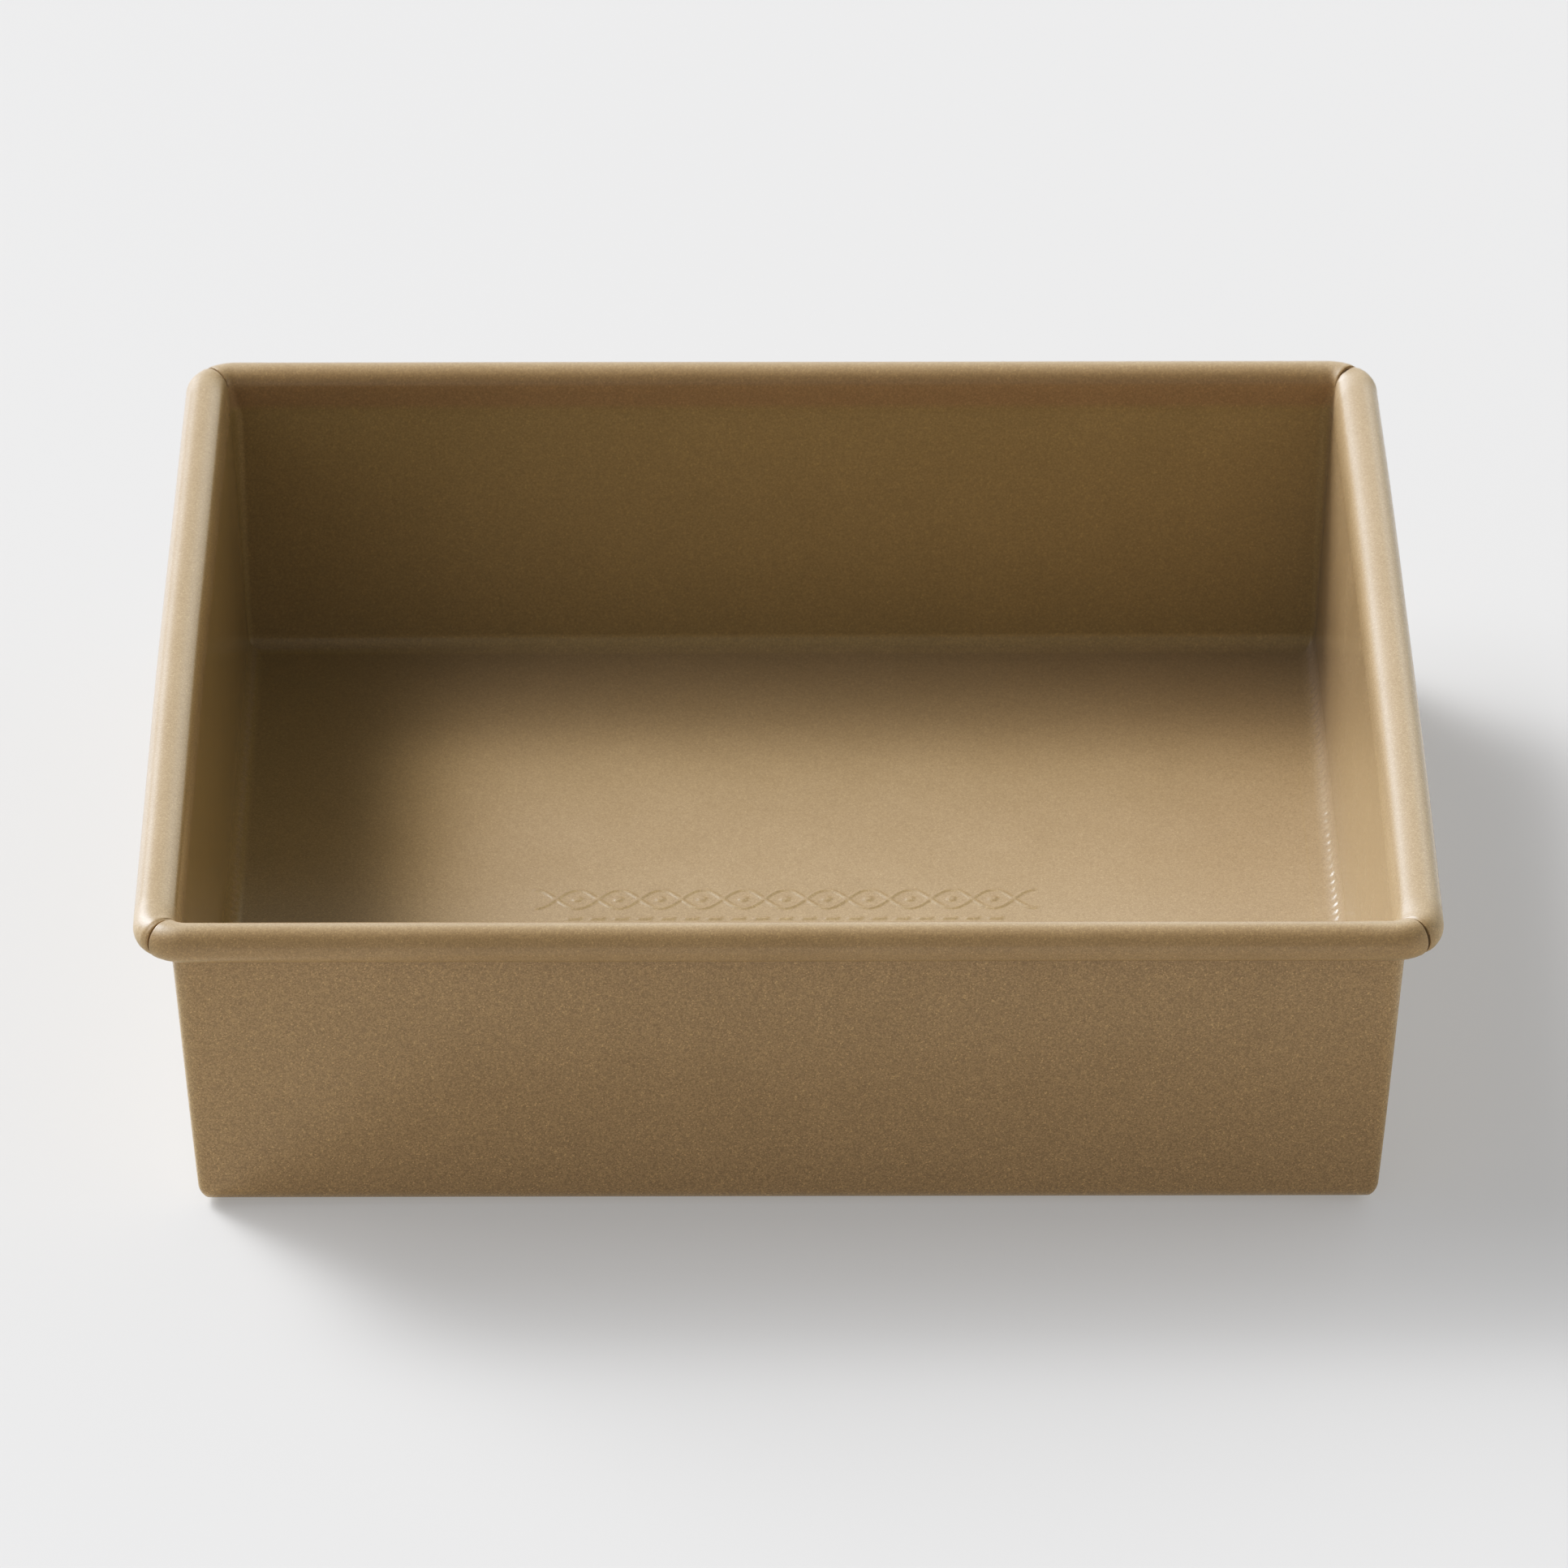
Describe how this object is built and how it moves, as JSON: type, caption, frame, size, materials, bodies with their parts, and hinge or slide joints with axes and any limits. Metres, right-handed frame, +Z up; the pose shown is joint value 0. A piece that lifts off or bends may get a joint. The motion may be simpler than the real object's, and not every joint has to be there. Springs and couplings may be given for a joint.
{
  "type": "square cake pan",
  "caption": "Square straight-sided cake pan of folded coated steel sheet, with pleated corners and a wired, rolled rim mitred at the corners.",
  "frame": {"origin": "centre of the underside, on the plane the pan stands on", "axes": "+Z up out of the open top; -Y is the front; the walls on +X and -X carry the folded corner pleats; the wire's butt joint is at the middle of the +Y side"},
  "size_m": [0.2166, 0.2166, 0.056],
  "materials": {
    "coated_sheet": "satin gold-beige non-stick coating with a fine pale metallic speckle",
    "wire_steel": "plain drawn steel wire"
  },
  "bodies": {
    "root": {"pan_body": "coated_sheet", "rim_wire": "wire_steel"}
  },
  "joints": []
}
